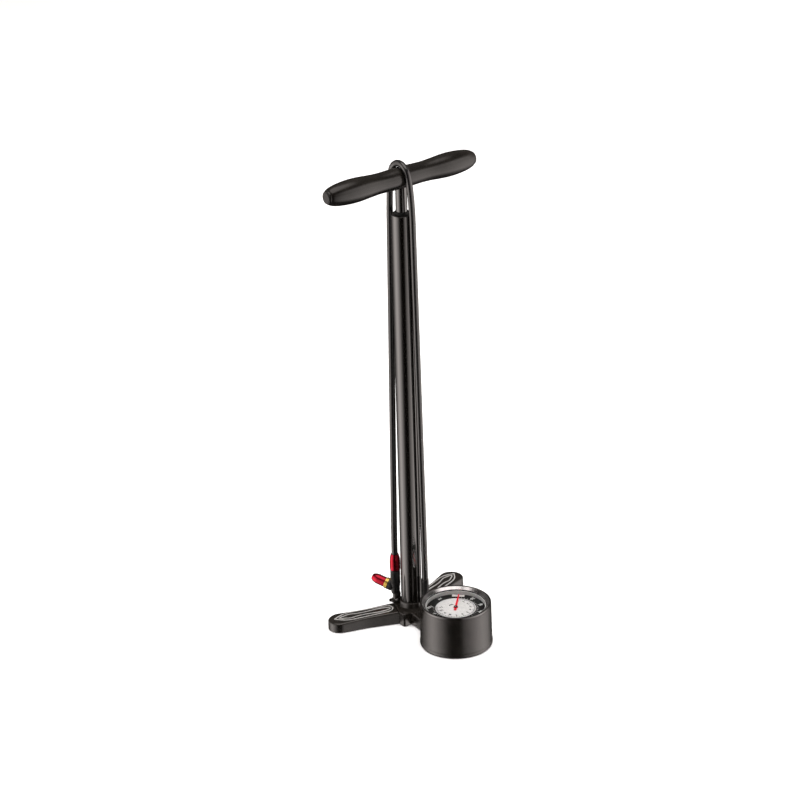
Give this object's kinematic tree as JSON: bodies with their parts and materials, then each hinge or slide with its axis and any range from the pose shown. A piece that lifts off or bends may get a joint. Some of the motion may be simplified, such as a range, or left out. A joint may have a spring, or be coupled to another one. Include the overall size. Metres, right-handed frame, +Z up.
{
  "type": "floor bike pump",
  "caption": "Tall upright floor pump: slim barrel on a three-armed foot with a drum gauge, sliding T handle, hose hooked over the handle and a docked valve chuck.",
  "frame": {"origin": "on the floor under the barrel's axis, at the middle of the hub's underside pad", "axes": "+Z up along the barrel, X along the handle with the hose's ferrule on the +X side, -Y towards the gauge"},
  "size_m": [0.2382, 0.2007, 0.6594],
  "materials": {
    "gloss_black": "gloss",
    "cast_black": "gloss",
    "leg_rib_metal": "gloss",
    "bezel_gloss": "gloss",
    "trim_metal": "polished",
    "handle_satin": "satin",
    "black_rubber": "matte",
    "hose_rubber": "satin",
    "bush_plastic": "matte",
    "black_anodised": "satin",
    "red_anodised": "satin",
    "brass": "satin",
    "steel": "satin",
    "dial_black": "matte",
    "dial_white": "matte",
    "needle_red": "satin",
    "needle_black": "satin",
    "lens_clear": "polished"
  },
  "bodies": {
    "root": {"barrel": "gloss_black", "barrel_cap": "gloss_black", "barrel_seal": "black_rubber", "base_hub": "cast_black", "bezel_trim": "trim_metal", "bourdon_tube": "brass", "chuck_body": "black_anodised", "chuck_dock": "cast_black", "chuck_sleeve": "red_anodised", "dial_ring": "dial_white", "dock_screw": "steel", "gauge_arm": "cast_black", "gauge_bezel": "bezel_gloss", "gauge_dial": "dial_black", "gauge_dial_centre": "dial_white", "gauge_foot_ring": "black_rubber", "gauge_housing": "cast_black", "gauge_inlet": "brass", "gauge_lens": "lens_clear", "hose_ferrule": "black_anodised", "hose_front_run": "hose_rubber", "hose_rear_run": "hose_rubber", "hose_stub": "black_anodised", "hub_pad": "black_rubber", "left_leg": "cast_black", "left_leg_rib": "leg_rib_metal", "leg_bolts": "steel", "leg_pads": "black_rubber", "movement_lower_plate": "brass", "movement_posts": "brass", "movement_upper_plate": "brass", "nozzle_ring": "brass", "right_leg": "cast_black", "right_leg_rib": "leg_rib_metal", "rod_bush": "bush_plastic", "valve_retainer": "bush_plastic", "valve_seat": "brass"},
    "piston": {"handle": "handle_satin", "handle_bolt": "steel", "handle_end_plugs": "handle_satin", "piston_rod": "gloss_black", "rod_top_plug": "steel", "rod_foot_plug": "steel", "piston_head": "bush_plastic", "piston_seal": "black_rubber", "piston_screw": "steel", "piston_bumper": "black_rubber", "hose_loop": "hose_rubber"},
    "needle": {"gauge_needle": "needle_red", "needle_shaft": "steel", "needle_boss": "needle_black"},
    "sector": {"sector_gear": "brass"},
    "valve_ball": {"valve_ball": "steel"},
    "chuck_cap": {"chuck_cap": "red_anodised", "chuck_seal": "black_rubber"},
    "chuck_collar": {"chuck_collar": "black_anodised"}
  },
  "joints": [
    {"name": "handle_slide", "type": "slide", "parent": "root", "child": "piston", "axis": [0, 0, 1], "range_m": [0, 0.49], "deforming": ["hose_front_run", "hose_rear_run"]},
    {"name": "sector_swing", "type": "hinge", "parent": "root", "child": "sector", "pos_m": [-0.018, -0.0977, 0.0388], "axis": [0, 0, 1], "range_deg": [0, 33.75], "stiffness_Nm_per_rad": 0.001},
    {"name": "needle_turn", "type": "hinge", "parent": "root", "child": "needle", "pos_m": [0, -0.0977, 0.0388], "axis": [0, 0, 1], "range_deg": [-270, 0]},
    {"name": "ball_lift", "type": "slide", "parent": "root", "child": "valve_ball", "axis": [0, -1, 0], "range_m": [0, 0.0025]},
    {"name": "cap_turn", "type": "hinge", "parent": "root", "child": "chuck_cap", "pos_m": [-0.0125, 0.0192, 0.0407], "axis": [-0.3822, 0.9004, 0.2079], "range_deg": [0, 270]},
    {"name": "collar_spin", "type": "hinge", "parent": "root", "child": "chuck_collar", "pos_m": [-0.0125, 0.0192, 0.06], "axis": [0, 0, 1], "continuous": true}
  ],
  "couplings": [
    {"joint": "needle_turn", "follows": "sector_swing", "ratio": -8}
  ]
}
